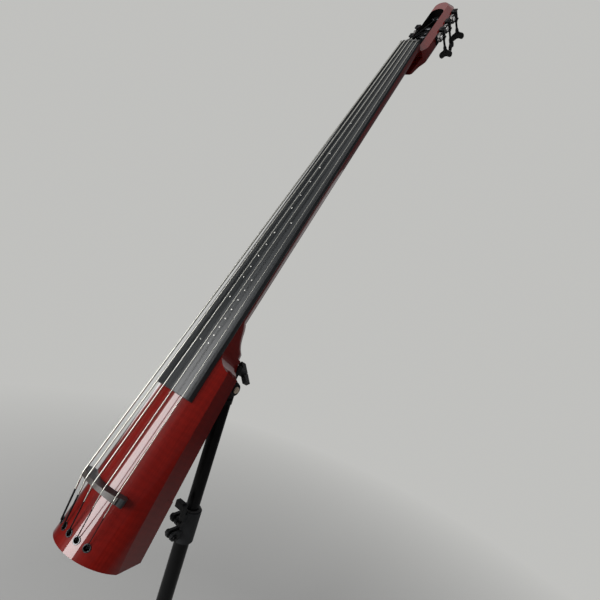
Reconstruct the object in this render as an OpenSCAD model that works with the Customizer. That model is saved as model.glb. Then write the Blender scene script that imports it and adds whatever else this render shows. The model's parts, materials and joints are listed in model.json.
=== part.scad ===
// Five-string upright electric double bass, leaning back on its own folding tripod stand.
// Instrument frame: x to the treble side, y to the back, z up the neck, origin on the
// strings at the nut. Stand frame: z up from the floor, mast on the z axis.

/* [Strings] */
// Sounding length, nut to bridge
scale_length = 1067; // [1060:1:1072]
// Distance between strings at the nut
nut_spacing = 9.7; // [9.4:0.1:9.9]
// Distance between strings at the bridge
bridge_spacing = 21.4; // [20.5:0.1:21.6]
// Distance between strings at the tail ferrules
ferrule_spacing = 18; // [17.5:0.1:18]
// Distance of the tail ferrules below the nut
ferrule_down = 1140; // [1138:1:1142]

/* [Body] */
// Radius of the arched belly
belly_r = 70; // [69.8:0.1:70.2]
// Belly crown behind the string plane
belly_y = 19; // [18.8:0.1:19.4]
// Lower end of the body below the nut
body_end = 1155; // [1153:1:1158]
// Half width of the body at its lower end
end_w = 69.6; // [69.3:0.1:69.7]
// Half width of the body at the shoulders
shoulder_w = 57.3; // [57:0.1:57.6]
// Radius of the arched back
back_r = 260; // [255:1:270]

/* [Neck] */
// Half width of the fingerboard at the nut
board_w_nut = 23; // [22.8:0.1:23.2]
// Half width of the fingerboard at its lower end
board_w_end = 42.3; // [42:0.1:42.5]
// Length of the fingerboard
board_length = 895; // [890:1:896]
// Radius of the fingerboard's playing surface
board_r = 85; // [84:1:88]
// Depth of the neck behind the fingerboard
neck_depth = 32; // [31:0.5:32.5]
// Where the neck ends and the body begins, below the nut
heel_down = 791; // [791:1:791]

/* [Stand] */
// Lean of the instrument from upright
lean = 27; // [25:1:29]
// Height of the tilt hinge above the floor
pivot_h = 900; // [890:1:910]
// Distance from the mast to the centre of each foot
foot_reach = 335; // [325:5:345]
// Height of the leg hinges above the floor
leg_hinge_h = 196; // [190:1:200]
// Mast position front to back, which centres the whole object on the origin
mast_y = -34.14; // [-40:0.05:-20]

/* [Hidden] */
$fn = 64;

// Colours
MAPLE = "#7d1512";
EBONY = "#1b1b1d";
BLACK = "#141415";
STEEL = "#b9bbbd";

// Strings: bass side first
string_r = [1.6, 1.35, 1.1, 0.9, 0.7];
nut_arc_r = 110;
bridge_arc_r = 92;
bridge_end_x = 42;
bridge_end_y = 20.5;
bridge_end_r = 10.5;
ball_r = 3;

// Tuning machines: side of the pegbox (1 treble, -1 bass), height and string place on each post
post_side = [-1, -1, 1, 1, 1];
post_z = [58.5, 91.5, 147, 109, 77];
post_x = [-10.5, -6, 0, 6, 10.5];
post_y = 42;
post_r = 5;
gear_r = 9.8;
worm_r = 4.8;
worm_rise = gear_r + worm_r + 0.4;
machine_x = 35;
key_angle = [-20, 60, -21, 82, -17];

// Pegbox
peg_joint_z = 6;
cheek_out = 28;
cheek_in = 16;
cheek_y = 21;
peg_back = 66;
peg_floor = 56;
slot_bottom = 14;
slot_top = 156;
peg_top = 194;
cheek_half = [[cheek_in, 0], [cheek_in, cheek_y], [cheek_out, 34], [cheek_out, 54], [24, 61],
    [16, peg_back]];

// Fingerboard and neck lines
board_y_nut = 10;
board_y_end = 33;
board_slope = atan((board_y_end - board_y_nut) / board_length);
crown_y_nut = 1.4;
crown_y_end = 10.9;
crown_slope = atan((crown_y_end - crown_y_nut) / board_length);

// Body lines
cove_r = 29;
cove_drop = 6;
shoulder_down = 818;
back_ref_down = 1135;
back_ref_y = 125.3;
back_slope = 6.58;
relief_step = 1.5;
bevel_y = 79;
bevel_angle = 30;
side_slope = atan((end_w - shoulder_w) / (body_end - shoulder_down));

// Stand
pivot_back = 146;
pivot_down = 832;
cheek_gap = 9.4;
cheek_t = 5;
boss_r = 13.5;
upper_r = 13;
lower_r = 15;
lower_bore_r = 13.9;
bushing_r = 13.8;
collar_r = 20;
collar_top = 648;
collar_length = 63;
lug_out = 35;
lug_r = 8;
lug_drops = [11, 44];
hub_r = 27;
leg_pin_reach = 44;
leg_r = 8;
leg_azimuth = [-90, 30, 150];
foot_r = 13;
leg_drop = leg_hinge_h - 26;
leg_angle = atan(leg_drop / (foot_reach - leg_pin_reach));
leg_length = norm([leg_drop, foot_reach - leg_pin_reach]);
thumbscrew_x = 37;
thumbscrew_down = 803;

function sag(x, r) = r - sqrt(r * r - x * x);
function belly_at(x) = belly_y + sag(x, belly_r);
function board_y(down) = board_y_nut + (board_y_end - board_y_nut) * down / board_length;
function board_w(down) = board_w_nut + (board_w_end - board_w_nut) * down / board_length;
function back_y(down) = back_ref_y - (back_ref_down - down) * tan(back_slope);
function crown_y(down) = crown_y_nut + (crown_y_end - crown_y_nut) * down / board_length;
function side_w(down) = end_w - (body_end - down) * tan(side_slope);
function nut_point(k) = [(k - 2) * nut_spacing, sag((k - 2) * nut_spacing, nut_arc_r), 0];
function bridge_point(k) =
    [(k - 2) * bridge_spacing, sag((k - 2) * bridge_spacing, bridge_arc_r), -scale_length];
function inward(x) = [-x / belly_r, sqrt(1 - pow(x / belly_r, 2)), 0];
function ferrule_point(k, depth) = [(k - 2) * ferrule_spacing,
    belly_at((k - 2) * ferrule_spacing), -ferrule_down]
    + depth * inward((k - 2) * ferrule_spacing);
function post_point(k) = [post_x[k], post_y - post_r - string_r[k] - 0.3, post_z[k]];

// ---------- placing helpers ----------

module on_instrument() {
    translate([0, mast_y, pivot_h]) rotate([-lean, 0, 0])
        translate([0, -pivot_back, pivot_down]) children();
}

module on_stand() {
    translate([0, mast_y, 0]) children();
}

// Local -y points out of the belly at distance x from the centre line
module on_belly(x, down) {
    translate([0, belly_y + belly_r, -down]) rotate([0, 0, asin(x / belly_r)])
        translate([0, -belly_r, 0]) children();
}

// Local +y points out of the back, z runs up along it
module on_back() {
    translate([0, back_ref_y, -back_ref_down]) rotate([back_slope, 0, 0]) children();
}

// Local +x points out of the flat side, z runs up along it from the body's lower end
module on_side(s) {
    mirror([s < 0 ? 1 : 0, 0, 0]) translate([end_w, 0, -body_end])
        rotate([0, -side_slope, 0]) children();
}

module rod(p, q, r) {
    way = q - p;
    translate(p) rotate([0, acos(way.z / norm(way)), atan2(way.y, way.x)])
        cylinder(h = norm(way), r = r);
}

module along_x(x, y, z, r, length) {
    translate([x, y, z]) rotate([0, 90, 0]) cylinder(h = length, r = r);
}

module along_y(x, y, z, r, length) {
    translate([x, y, z]) rotate([-90, 0, 0]) cylinder(h = length, r = r);
}

// A side-view outline of [y, z] points, given a thickness across x
module side_view(points, half) {
    translate([-half, 0, 0]) rotate([90, 0, 90]) linear_extrude(height = 2 * half)
        polygon(points);
}

// A front-view outline of [x, z] points, given a depth from y0 to y1
module front_view(points, y0, y1) {
    translate([0, y1, 0]) rotate([90, 0, 0]) linear_extrude(height = y1 - y0) polygon(points);
}

// ---------- body ----------

module body_blank() {
    intersection() {
        translate([0, 0, -body_end - 11]) linear_extrude(height = body_end + 11 - heel_down)
            union() {
            translate([0, belly_y + belly_r]) circle(r = belly_r, $fn = 128);
            translate([-end_w, belly_y + belly_r - 4]) square([2 * end_w, 100]);
        }
        on_back() translate([0, -back_r, -60]) cylinder(r = back_r, h = 460, $fn = 256);
        difference() {
            front_view([[-shoulder_w, -heel_down], [shoulder_w, -heel_down],
                [shoulder_w, -shoulder_down], [end_w, -body_end], [end_w, -body_end - 11],
                [-end_w, -body_end - 11], [-end_w, -body_end],
                [-shoulder_w, -shoulder_down]], 0, 160);
            for (s = [-1, 1]) translate([s * (board_w(heel_down) - 0.6 + cove_r), 0,
                -heel_down - cove_drop]) {
                along_y(0, -1, 0, cove_r, 170);
                translate([-cove_r, -1, 0]) cube([2 * cove_r, 170, cove_drop + 1]);
            }
        }
        side_view([[0, -heel_down], [170, -heel_down],
            [170, (170 - bevel_y) * tan(bevel_angle) - body_end], [bevel_y, -body_end],
            [0, -body_end - 10.5]], 80);
    }
}

// The seat of the fingerboard: everything in front of its flat underside
module board_blank() {
    intersection() {
        front_view([[-board_w_nut, 0], [board_w_nut, 0], [board_w_end, -board_length],
            [-board_w_end, -board_length]], -20, 60);
        translate([0, board_y_nut, 0]) rotate([board_slope, 0, 0])
            translate([-60, -60, -board_length - 20]) cube([120, 60, board_length + 40]);
    }
}

module neck_tenon(gap) {
    translate([-24 - gap, board_y(heel_down + 62) + 1, -heel_down - 62 - gap])
        cube([48 + 2 * gap, 32 + gap, 62 + gap + 0.01]);
}

// Shallow step low on each flat side, with one rounded corner
module side_relief() {
    on_side(1) translate([-relief_step, 0, 0]) rotate([90, 0, 90])
        linear_extrude(height = 12) union() {
            translate([92, 118]) square([80, 300]);
            translate([74, 136]) square([98, 282]);
            translate([92, 136]) circle(r = 18);
        }
}

module body_core() {
    color(MAPLE) on_instrument() difference() {
        body_blank();
        board_blank();
        neck_tenon(0.05);
        side_relief();
        mirror([1, 0, 0]) side_relief();
        for (k = [0:4]) on_belly((k - 2) * ferrule_spacing, ferrule_down) {
            along_y(0, -3, 0, 6.3, 3.6);
            along_y(0, -3, 0, 5.3, 30);
        }
        on_back() {
            translate([-48, -40, 42]) cube([76, 36.1, 136]);
            translate([-56, -4, 34]) cube([92, 20, 152]);
            for (x = [-52, 32], z = [38, 182]) along_y(x, -16, z, 1.2, 14);
        }
        along_x(-80, control_y, -volume_down, 4.1, 34);
        along_x(-80, control_y, -tone_down, 4.1, 34);
        along_x(-80, control_y, -jack_down, 6.1, 34);
        for (s = [-1, 1]) on_back() along_y(s * thumbscrew_x, -24,
            back_ref_down - thumbscrew_down, 3.1, 30);
    }
}

// Neck and heel: half-round section that grows into the square heel
function neck_back(down) = down < 747 ? board_y(down) + neck_depth
    : min(97.5 - sqrt(36 * 36 - pow(min(down, 782) - 747, 2)), back_y(down));
function neck_power(down) = down < 735 ? 2 : 2 + 7 * (down - 735) / (heel_down - 735);
neck_stations = concat([-6, 100, 250, 400, 550, 700], [for (i = [0:13]) 735 + 4 * i], [791]);
neck_sides = 28;
neck_ring = [for (down = neck_stations) [for (i = [0:neck_sides - 1])
    let (a = 180 * i / (neck_sides - 1), n = 2 / neck_power(down), y0 = board_y(max(down, 0)))
    [(board_w(max(down, 0)) - 0.6) * sign(cos(a)) * pow(abs(cos(a)), n),
     y0 + (neck_back(max(down, 0)) - y0) * pow(max(sin(a), 0), n), -down]]];

module neck() {
    rings = len(neck_stations);
    n = neck_sides;
    color(MAPLE) on_instrument() difference() {
        union() {
            polyhedron(points = [for (ring = neck_ring) each ring],
                faces = concat([[for (i = [0:n - 1]) n - 1 - i]],
                    [[for (i = [0:n - 1]) (rings - 1) * n + i]],
                    [for (r = [0:rings - 2], i = [0:n - 1]) [r * n + i,
                        r * n + (i + 1) % n, (r + 1) * n + i]],
                    [for (r = [0:rings - 2], i = [0:n - 1]) [(r + 1) * n + i,
                        r * n + (i + 1) % n, (r + 1) * n + (i + 1) % n]]));
            neck_tenon(0);
        }
        truss_channel(0.1);
    }
}

module fingerboard() {
    color(EBONY) on_instrument() difference() {
        intersection() {
            board_blank();
            translate([0, crown_y_nut + board_r, 0]) rotate([crown_slope, 0, 0])
                translate([0, 0, -board_length - 30])
                    cylinder(r = board_r, h = board_length + 60, $fn = 256);
        }
        dot_rows(1.12, -1, 0.57);
    }
}

module nut() {
    color("#20201f") on_instrument() difference() {
        intersection() {
            translate([-board_w_nut, -3, 0]) cube([2 * board_w_nut, board_y_nut + 3, 5.5]);
            translate([0, nut_arc_r - 0.3, -5]) cylinder(r = nut_arc_r, h = 20, $fn = 256);
        }
        for (k = [0:4]) groove(nut_point(k), post_point(k) - nut_point(k),
            string_r[k] + 0.3, -2, 12);
    }
}

// Square-bottomed string groove, open to the front, that runs along way from z0 to z1
module groove(at, way, half, z0, z1) {
    translate(at) rotate([-atan2(way.y, way.z), atan(way.x / way.z), 0])
        translate([-half, -9, z0]) cube([2 * half, 9 + half, z1 - z0]);
}

// Inlaid position marks: a centre row for the lower notes and a second row from the octave up
module position_dots() {
    color("#d9d4c4") on_instrument() dot_rows(1.1, 0.05, 0.55);
}

// Round marks between two depths below the playing surface
module dot_rows(r, top, bottom) {
    centre_row = [5, 7, 8, 9, 10, 11, 13, 14, 15, 16, 17, 19, 24];
    treble_row = [12, 17, 18, 19, 20, 21, 22, 23, 24];
    for (row = [[-2.2, centre_row], [16.8, treble_row]], n = row[1])
        let (down = scale_length * (1 - pow(2, -n / 12)))
            translate([0, crown_y(down) + board_r, -down]) rotate([0, 0, asin(row[0] / board_r)])
                along_y(0, top - board_r, 0, r, bottom - top);
}

module truss_channel(gap) {
    rod([0, board_y(0) + 12, 0], [0, board_y(heel_down) + 12, -heel_down - 30 - gap], 3 + gap);
    rod([0, board_y(0) + 12, 7], [0, board_y(0) + 12, -8 - gap], 4.5 + gap);
}

module truss_rod() {
    color(STEEL) on_instrument() intersection() {
        union() truss_channel(0);
        translate([-10, 0, -900]) cube([20, 90, 900 + peg_joint_z - 0.1]);
    }
}

// ---------- bridge ----------

module bridge_solid(crown) {
    difference() {
        intersection() {
            side_view([[crown, 3.5 - scale_length], [crown, -3.5 - scale_length],
                [38, -6 - scale_length], [38, 11 - scale_length], [16, 7 - scale_length]], 54);
            translate([0, bridge_arc_r + crown - 0.4, -scale_length - 30])
                cylinder(r = bridge_arc_r, h = 60, $fn = 256);
            translate([0, 0, -scale_length - 30]) union() {
                translate([-bridge_end_x, -5, 0]) cube([2 * bridge_end_x, 60, 60]);
                for (s = [-1, 1]) translate([s * bridge_end_x, bridge_end_y, 0])
                    cylinder(r = bridge_end_r, h = 60);
            }
        }
        translate([0, belly_y + belly_r, -scale_length - 30])
            cylinder(r = belly_r, h = 60, $fn = 128);
    }
}

module bridge() {
    color(EBONY) on_instrument() difference() {
        bridge_solid(3.4);
        for (x = [-24, 24]) on_belly(x, scale_length - 1) along_y(0, -3.5, 0, 4.5, 4);
    }
}

module bridge_saddle() {
    color("#8d8780") on_instrument() difference() {
        intersection() {
            bridge_solid(0);
            translate([-46, -10, -scale_length - 30]) cube([92, 40, 60]);
            translate([0, bridge_arc_r - 2, -scale_length - 30]) difference() {
                cylinder(r = bridge_arc_r + 4, h = 60, $fn = 256);
                translate([0, 5, -1]) cylinder(r = bridge_arc_r, h = 62, $fn = 256);
            }
        }
        for (k = [0:4]) {
            groove(bridge_point(k), nut_point(k) - bridge_point(k), string_r[k] + 0.1, -1, 14);
            groove(bridge_point(k), bridge_point(k) - ferrule_point(k, -2.4),
                string_r[k] + 0.1, -14, 1);
        }
    }
}

module pickup() {
    color("#b08d57") on_instrument() for (x = [-24, 24])
        on_belly(x, scale_length - 1) along_y(0, -3.3, 0, 4.4, 3.2);
}

// ---------- strings ----------

module string_path(k) {
    r = string_r[k];
    outer = ferrule_point(k, -2.4);
    inner = ferrule_point(k, 8);
    color(STEEL) on_instrument() union() {
        rod(post_point(k), nut_point(k), r);
        translate(nut_point(k)) sphere(r = r + 0.08);
        rod(nut_point(k), bridge_point(k), r);
        translate(bridge_point(k)) sphere(r = r + 0.08);
        rod(bridge_point(k), outer, r);
        translate(outer) sphere(r = r + 0.08);
        rod(outer, inner, r);
        translate(inner) sphere(r = ball_r);
    }
}

module string_1() { string_path(0); }
module string_2() { string_path(1); }
module string_3() { string_path(2); }
module string_4() { string_path(3); }
module string_5() { string_path(4); }

module tail_ferrules() {
    color("#34363a") on_instrument() for (k = [0:4])
        on_belly((k - 2) * ferrule_spacing, ferrule_down) difference() {
            union() {
                along_y(0, -0.9, 0, 6.2, 1.5);
                along_y(0, 0, 0, 5.2, 24);
            }
            along_y(0, -2, 0, 4.3, 20);
        }
}

// ---------- pegbox and tuning machines ----------

module peghead() {
    color(MAPLE) on_instrument() difference() {
        intersection() {
            front_view([[-8, -40], [8, -40], [12, -34], [14, -20], [17, -6], [23, peg_joint_z],
                [cheek_out, 27], [cheek_out, peg_top + 1], [-cheek_out, peg_top + 1],
                [-cheek_out, 27], [-23, peg_joint_z], [-17, -6], [-14, -20], [-12, -34]], 0, 90);
            side_view([[board_y_nut, peg_joint_z], [cheek_y, 17], [cheek_y, peg_top + 1],
                [peg_back, peg_top + 1], [peg_back, 50], [65.2, 42], [62.5, 30], [60.5, 19],
                [59.3, 6], [58.8, -20], [58, -31], [56, -38], [53.5, -40], [51.5, -35], [50, -18],
                [49, -8], [46, -4], [44.5, 0], [43.5, peg_joint_z]], 40);
            union() {
                translate([0, 0, -60]) linear_extrude(height = peg_top - cheek_out + 60)
                    polygon(concat(cheek_half, [for (i = [len(cheek_half) - 1:-1:0])
                        [-cheek_half[i].x, cheek_half[i].y]]));
                translate([0, 0, peg_top - cheek_out]) rotate([-90, 0, 0]) rotate_extrude()
                    polygon(concat([[0, cheek_y]], [for (i = [1:len(cheek_half) - 1])
                        cheek_half[i]], [[0, peg_back]]));
            }
        }
        translate([-cheek_in, 0, slot_bottom])
            cube([2 * cheek_in, peg_floor, slot_top - slot_bottom - cheek_in]);
        along_y(0, -1, slot_top - cheek_in, cheek_in - 0.02, peg_floor + 1);
        for (k = [0:4]) {
            mirror([post_side[k] < 0 ? 1 : 0, 0, 0])
                along_x(-cheek_in - 5, post_y, post_z[k], post_r + 0.06, 60);
        }
        for (k = [0:4]) mirror([post_side[k] < 0 ? 1 : 0, 0, 0])
            plate_screw_holes(k, 1.2, cheek_out - 7, 12);
    }
}

module plate_screw_holes(k, r, x, length) {
    for (y = [37, 47]) along_x(x, y, post_z[k] + 20.6, r, length);
}

// Baseplate with two bearing ears for each worm
module machine_plate(ks) {
    top = max([for (k = ks) post_z[k]]) + 25;
    bottom = min([for (k = ks) post_z[k]]) - 12;
    mirror([post_side[ks[0]] < 0 ? 1 : 0, 0, 0]) difference() {
        union() {
            translate([cheek_out, 34.2, bottom]) cube([1.6, 19.6, top - bottom]);
            for (k = ks, y = [30, 51]) {
                translate([cheek_out, y, post_z[k] + worm_rise - 6]) cube([11, 3, 12]);
                translate([cheek_out, min(y, 34), post_z[k] + worm_rise - 6])
                    cube([1.6, 20, 12]);
            }
        }
        for (k = ks) {
            along_x(cheek_out - 1, post_y, post_z[k], post_r + 0.06, 4);
            along_y(machine_x, 20, post_z[k] + worm_rise, 2.56, 40);
            plate_screw_holes(k, 1.6, cheek_out - 1, 4);
        }
    }
}

module tuner_plate_treble() {
    color(BLACK) on_instrument() machine_plate([2, 3, 4]);
}

module tuner_plate_bass() {
    color(BLACK) on_instrument() machine_plate([0, 1]);
}

module string_post(k) {
    color(STEEL) on_instrument() mirror([post_side[k] < 0 ? 1 : 0, 0, 0]) union() {
        along_x(-cheek_in - 4.7, post_y, post_z[k], post_r, cheek_in + cheek_out + 6.5);
        along_x(cheek_out + 1.7, post_y, post_z[k], 3, 8.2);
        along_x(cheek_out + 9.1, post_y, post_z[k], 3.9, 1.6);
        for (turn = [0:2]) string_turn(k, post_x[k] * post_side[k] + (turn - 3.2) * 2.1
            * string_r[k]);
    }
}

// One turn of string wound on a post
module string_turn(k, x) {
    translate([x, post_y, post_z[k]]) rotate([0, 90, 0])
        rotate_extrude() translate([post_r + string_r[k] * 0.8, 0]) circle(r = string_r[k]);
}

module post_1() { string_post(0); }
module post_2() { string_post(1); }
module post_3() { string_post(2); }
module post_4() { string_post(3); }
module post_5() { string_post(4); }

module worm_wheel(k) {
    teeth = 18;
    color("#35332f") on_instrument() mirror([post_side[k] < 0 ? 1 : 0, 0, 0]) difference() {
        along_x(cheek_out + 3.8, post_y, post_z[k], gear_r, 5);
        along_x(cheek_out + 3, post_y, post_z[k], 3.02, 7);
        for (t = [0:teeth - 1]) translate([0, post_y, post_z[k]]) rotate([360 * t / teeth, 0, 0])
            along_x(cheek_out + 3, gear_r + 0.2, 0, 0.8, 7);
    }
}

module gear_1() { worm_wheel(0); }
module gear_2() { worm_wheel(1); }
module gear_3() { worm_wheel(2); }
module gear_4() { worm_wheel(3); }
module gear_5() { worm_wheel(4); }

// Worm, stem and butterfly key in one piece
module tuning_key(k) {
    z = post_z[k] + worm_rise;
    color(BLACK) on_instrument() mirror([post_side[k] < 0 ? 1 : 0, 0, 0]) union() {
        along_y(machine_x, 28.4, z, 2.5, 56);
        along_y(machine_x, 33.3, z, worm_r, 17.4);
        along_y(machine_x, 54.6, z, 3.6, 2);
        along_y(machine_x, 76, z, 4, 16);
        translate([machine_x, 0, z]) rotate([0, key_angle[k], 0]) intersection() {
            for (s = [-1, 1]) translate([s * 7, 92, -2.2]) cylinder(r = 10, h = 4.4);
            translate([-15, 80, -3]) cube([30, 23, 6]);
        }
    }
}

module key_1() { tuning_key(0); }
module key_2() { tuning_key(1); }
module key_3() { tuning_key(2); }
module key_4() { tuning_key(3); }
module key_5() { tuning_key(4); }

module small_screws() {
    color("#2b2b2d") on_instrument() {
        for (k = [0:4]) mirror([post_side[k] < 0 ? 1 : 0, 0, 0]) {
            plate_screw_holes(k, 1.2, cheek_out - 6.9, 8.9);
            plate_screw_holes(k, 2.2, cheek_out + 1.6, 1);
        }
        on_back() for (x = [-52, 32], z = [38, 182]) {
            along_y(x, -16, z, 1.2, 12.1);
            along_y(x, -3.9, z, 2.4, 1.6);
        }
    }
}

// ---------- electronics ----------

control_y = 92;
volume_down = 985;
tone_down = 1025;
jack_down = 1068;
jack_face = side_w(jack_down) + 3.6;

module rear_cover() {
    color(BLACK) on_instrument() on_back() difference() {
        intersection() {
            translate([-55.7, -3.9, 34.3]) cube([91.4, 20, 151.4]);
            translate([0, -back_r - 0.1, 0]) cylinder(r = back_r, h = 300, $fn = 256);
        }
        for (x = [-52, 32], z = [38, 182]) along_y(x, -3.95, z, 2.5, 30);
    }
}

module preamp() {
    color("#1f5b34") on_instrument() on_back() {
        translate([2, -38, 60]) cube([22, 1.6, 70]);
        translate([4, -36.4, 70]) cube([8, 5, 12]);
        translate([14, -36.4, 96]) cube([7, 6, 18]);
        translate([-22, -36, 120]) cube([22, 16, 50]);
    }
}

module control_pots() {
    color("#9a9c9e") on_instrument() for (down = [volume_down, tone_down]) {
        wall = side_w(down) - relief_step;
        difference() {
            union() {
                along_x(-47.9, control_y, -down, 9.5, 10);
                along_x(-wall - 3.4, control_y, -down, 4, wall + 3.4 - 47.5);
                along_x(-wall - 2.6, control_y, -down, 6.5, 2.5);
            }
            along_x(-90, control_y, -down, 3.06, 50);
        }
    }
}

module side_knob(down) {
    face = side_w(down) - relief_step + 3.8;
    color(BLACK) on_instrument() union() {
        along_x(-face - 14, control_y, -down, 9, 14);
        along_x(-face - 1, control_y, -down, 3, face + 1 - 42);
    }
}

module volume_knob() { side_knob(volume_down); }
module tone_knob() { side_knob(tone_down); }

module output_jack() {
    color(STEEL) on_instrument() difference() {
        union() {
            along_x(-jack_face, control_y, -jack_down, 6, jack_face - 47);
            along_x(-jack_face + 0.4, control_y, -jack_down, 9.5, 3);
            along_x(-47.9, control_y, -jack_down, 7.5, 22);
        }
        along_x(-80, control_y, -jack_down, 3.2, 48);
    }
}

// ---------- mount and tilt hinge ----------

module mount_plate() {
    low = -pivot_down - 34;
    high = -pivot_down + 36;
    color(BLACK) on_instrument() difference() {
        union() {
            intersection() {
                on_back() translate([-45, -8, back_ref_down + low]) cube([90, 13, high - low]);
                translate([-60, 60, low]) cube([120, 60, high - low]);
            }
            for (s = [-1, 1]) translate([s * (cheek_gap + cheek_t / 2), 0, 0]) {
                side_view([[back_y(-low) - 2, low + 2], [back_y(-high) + 1, high - 6],
                    [pivot_back - 2, boss_r - pivot_down], [pivot_back + 4, -pivot_down - 8],
                    [pivot_back - 8, -pivot_down - boss_r + 2.5]], cheek_t / 2);
                along_x(-cheek_t / 2, pivot_back, -pivot_down, boss_r, cheek_t);
            }
        }
        on_back() translate([0, -back_r, 0]) cylinder(r = back_r, h = 460, $fn = 256);
        along_x(-30, pivot_back, -pivot_down, 4.1, 60);
        for (s = [-1, 1]) on_back() along_y(s * thumbscrew_x, -24,
            back_ref_down - thumbscrew_down, 3.1, 40);
    }
}

module thumbscrew(s) {
    color(BLACK) on_instrument() on_back()
        translate([s * thumbscrew_x, 0, back_ref_down - thumbscrew_down]) union() {
            along_y(0, -23, 0, 3, 40);
            along_y(0, 5.4, 0, 8, 18);
            translate([0, 27, 0]) rotate([0, s * 43, 0]) intersection() {
                for (w = [-1, 1]) translate([w * 11, 0, -4]) cylinder(r = 12, h = 8);
                translate([-21, -7, -4]) cube([42, 14, 8]);
            }
        }
}

module thumbscrew_1() { thumbscrew(1); }
module thumbscrew_2() { thumbscrew(-1); }

module pivot_bolt() {
    color(BLACK) on_instrument() union() {
        along_x(-43, pivot_back, -pivot_down, 4, 63);
        along_x(cheek_gap + cheek_t + 0.1, pivot_back, -pivot_down, 12.4, 3.4);
    }
}

module pivot_cap() {
    color("#c9b9a3") on_instrument() difference() {
        along_x(cheek_gap + cheek_t + 3.6, pivot_back, -pivot_down, 6.5, 3.4);
        along_x(cheek_gap + cheek_t + 3, pivot_back, -pivot_down, 4.02, 3.05);
    }
}

module tilt_knob() {
    color(BLACK) on_instrument() difference() {
        union() {
            along_x(-40, pivot_back, -pivot_down, 9, 25);
            translate([-35, pivot_back, -pivot_down]) rotate([35, 0, 0]) intersection() {
                for (w = [-1, 1]) translate([0, w * 9, -4]) cylinder(r = 9, h = 8);
                translate([-6, -16.5, -4]) cube([12, 33, 8]);
            }
        }
        along_x(-50, pivot_back, -pivot_down, 4.05, 60);
    }
}

// Hinge block on top of the mast
module tilt_head() {
    color(BLACK) on_stand() difference() {
        union() {
            along_x(-cheek_gap + 0.3, 0, pivot_h, 12, 2 * cheek_gap - 0.6);
            translate([-cheek_gap + 0.3, -12, pivot_h - 24])
                cube([2 * cheek_gap - 0.6, 24, 24]);
            translate([0, 0, pivot_h - 32]) cylinder(r = 14.5, h = 9);
            translate([0, 0, pivot_h - 70]) cylinder(r = upper_r - 1.5, h = 40);
        }
        along_x(-30, 0, pivot_h, 4.08, 60);
    }
}

module mast_upper() {
    color("#0f0f10") on_stand() difference() {
        translate([0, 0, 440]) cylinder(r = upper_r, h = pivot_h - 32 - 440);
        translate([0, 0, 430]) cylinder(r = upper_r - 1.5, h = pivot_h - 32 - 420);
    }
}

module mast_bushing() {
    color("#2a2a2b") on_stand() difference() {
        union() {
            translate([0, 0, collar_top - 70]) cylinder(r = bushing_r, h = 72);
            translate([0, 0, collar_top + 0.3]) cylinder(r = 17.5, h = 3);
        }
        translate([0, 0, collar_top - 80]) cylinder(r = upper_r + 0.05, h = 100);
    }
}

// Cast clamp collar with two pairs of ears at the front
module clamp_collar() {
    color("#3a3b3d") on_stand() difference() {
        union() {
            translate([0, 0, collar_top - collar_length]) cylinder(r = collar_r,
                h = collar_length);
            for (drop = lug_drops, s = [-1, 1]) {
                translate([s * 6 - 3, -lug_out, collar_top - drop - lug_r])
                    cube([6, lug_out - 12, 2 * lug_r]);
                along_x(s * 6 - 3, -lug_out, collar_top - drop, lug_r, 6);
            }
        }
        translate([0, 0, collar_top - 30]) cylinder(r = bushing_r + 0.06, h = 40);
        translate([0, 0, collar_top - collar_length - 5])
            cylinder(r = lower_r + 0.03, h = collar_length - 24.7);
        translate([-1.5, -lug_out, collar_top - collar_length - 5]) cube([3, lug_out, 100]);
        for (drop = lug_drops) along_x(-20, -lug_out, collar_top - drop, 3.1, 40);
    }
}

module clamp_lever() {
    z = collar_top - lug_drops[0];
    color(BLACK) on_stand() difference() {
        union() {
            along_x(9.3, -lug_out, z, 7, 5);
            translate([9.3, -lug_out - 5, z]) cube([5, 10, 34]);
            translate([-9, -lug_out - 5, z + 22]) cube([18.4, 10, 14]);
        }
        along_x(0, -lug_out, z, 3.1, 20);
    }
}

module stand_bolts() {
    color(BLACK) on_stand() {
        for (drop = lug_drops) {
            along_x(-13, -lug_out, collar_top - drop, 3, 29);
            along_x(-13, -lug_out, collar_top - drop, 5.5, 3.8);
        }
        along_x(9.2, -lug_out, collar_top - lug_drops[1], 5.5, 3.8);
        for (a = leg_azimuth) rotate([0, 0, a]) {
            along_y(leg_pin_reach, -17.5, leg_hinge_h, 3, 35);
            along_y(leg_pin_reach, -17.5, leg_hinge_h, 5.5, 3.4);
            along_y(leg_pin_reach, 14.1, leg_hinge_h, 5.5, 3.4);
        }
    }
}

module mast_lower() {
    color("#121213") on_stand() difference() {
        translate([0, 0, 150]) cylinder(r = lower_r, h = collar_top - 30 - 150);
        translate([0, 0, 152]) cylinder(r = lower_bore_r, h = 600);
    }
}

// ---------- legs ----------

module leg_hub() {
    color("#1c1c1e") on_stand() difference() {
        union() {
            translate([0, 0, leg_hinge_h - 34]) cylinder(r = hub_r, h = 62);
            for (a = leg_azimuth, s = [-1, 1]) rotate([0, 0, a]) {
                translate([18, s * 11.5 - 2.5, leg_hinge_h - 11]) cube([26, 5, 22]);
                along_y(leg_pin_reach, s * 11.5 - 2.5, leg_hinge_h, 11, 5);
                translate([hub_r - 6, -9.2, leg_hinge_h + 16]) cube([16, 18.4, 6]);
            }
        }
        translate([0, 0, 150]) cylinder(r = lower_r, h = 200);
        for (a = leg_azimuth) rotate([0, 0, a])
            along_y(leg_pin_reach, -20, leg_hinge_h, 3.06, 40);
    }
}

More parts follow.
